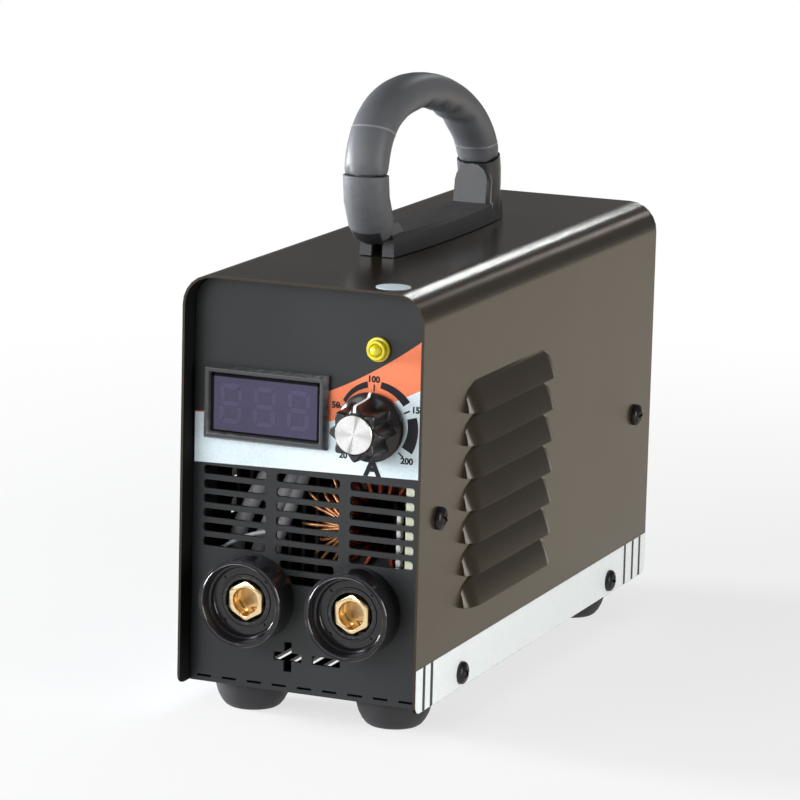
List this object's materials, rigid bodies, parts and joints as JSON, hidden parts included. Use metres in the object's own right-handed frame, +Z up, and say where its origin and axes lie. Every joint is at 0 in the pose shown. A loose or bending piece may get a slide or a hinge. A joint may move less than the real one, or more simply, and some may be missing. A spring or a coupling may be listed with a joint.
{
  "type": "stick welding inverter",
  "caption": "Portable stick welding inverter in a louvred sheet-metal case, with carrying handle, current knob, digital meter, two twist-lock sockets, mains switch and cooling fan.",
  "frame": {"origin": "on the ground, in the middle of the machine's width and depth", "axes": "+Z up, -Y out of the front panel, +X to the right as one faces the front"},
  "size_m": [0.099, 0.2516, 0.2189],
  "materials": {
    "aluminium": "extruded, satin",
    "amber_plastic": "moulded, gloss",
    "black_plastic": "moulded black plastic, half gloss",
    "black_screw": "black zinc",
    "board_green": "solder mask",
    "brass": "turned brass, bright",
    "capacitor_sleeve": "shrink sleeve",
    "copper": "bare copper",
    "cream_nylon": "moulded nylon",
    "digit_grey": "moulded",
    "enamelled_wire": "enamelled copper wire, gloss",
    "ferrite": "sintered",
    "foot_rubber": "rubber, matt",
    "handle_rubber": "soft moulded grip, matt",
    "panel_coat": "fine textured black powder coat, satin",
    "powder_coat": "fine textured black powder coat, satin",
    "spun_aluminium": "spun, circular brushing",
    "tape_yellow": "polyester tape over wire",
    "tinted_window": "tinted acrylic, gloss",
    "zinc_steel": "zinc plated"
  },
  "bodies": {
    "casing": {"busbar_left": "copper", "busbar_right": "copper", "capacitor_left": "capacitor_sleeve", "capacitor_right": "capacitor_sleeve", "chassis": "panel_coat", "choke_core": "ferrite", "choke_cradle": "black_plastic", "choke_winding": "enamelled_wire", "cover_shell": "powder_coat", "display_bezel": "black_plastic", "display_module": "digit_grey", "display_window": "tinted_window", "fan_frame": "black_plastic", "fan_screw_1": "zinc_steel", "fan_screw_2": "zinc_steel", "fan_screw_3": "zinc_steel", "fan_screw_4": "zinc_steel", "foot_1": "foot_rubber", "foot_2": "foot_rubber", "foot_3": "foot_rubber", "foot_4": "foot_rubber", "gland_body": "black_plastic", "gland_cap": "black_plastic", "gland_nut": "black_plastic", "handle_frame": "black_plastic", "handle_grip": "handle_rubber", "handle_screw_front": "zinc_steel", "handle_screw_rear": "zinc_steel", "heat_sink_left": "aluminium", "heat_sink_right": "aluminium", "lamp_holder": "amber_plastic", "lamp_lens": "amber_plastic", "main_board": "board_green", "pot_nut": "zinc_steel", "potentiometer": "zinc_steel", "rear_panel": "panel_coat", "side_screw_left_1": "black_screw", "side_screw_left_2": "black_screw", "side_screw_left_3": "black_screw", "side_screw_left_4": "black_screw", "side_screw_right_1": "black_screw", "side_screw_right_2": "black_screw", "side_screw_right_3": "black_screw", "side_screw_right_4": "black_screw", "socket_bolt_left": "zinc_steel", "socket_bolt_right": "zinc_steel", "socket_collar_left": "black_plastic", "socket_collar_right": "black_plastic", "socket_contact_left": "brass", "socket_contact_right": "brass", "switch_body": "black_plastic", "terminal_strip": "cream_nylon", "transformer_core": "ferrite", "transformer_winding": "tape_yellow"},
    "knob": {"knob": "black_plastic", "knob_cap": "spun_aluminium", "pot_shaft": "zinc_steel"},
    "rocker": {"switch_rocker": "black_plastic"},
    "fan": {"fan_rotor": "black_plastic"}
  },
  "joints": [
    {"name": "knob_turn", "type": "hinge", "parent": "casing", "child": "knob", "pos_m": [0.0235, -0.117, 0.1085], "axis": [0, 1, 0], "range_deg": [-135, 135]},
    {"name": "rocker_tilt", "type": "hinge", "parent": "casing", "child": "rocker", "pos_m": [-0.019, 0.107, 0.0448], "axis": [1, 0, 0], "range_deg": [0, 24]},
    {"name": "fan_spin", "type": "hinge", "parent": "casing", "child": "fan", "pos_m": [0, 0.098, 0.1148], "axis": [0, 1, 0], "continuous": true}
  ]
}
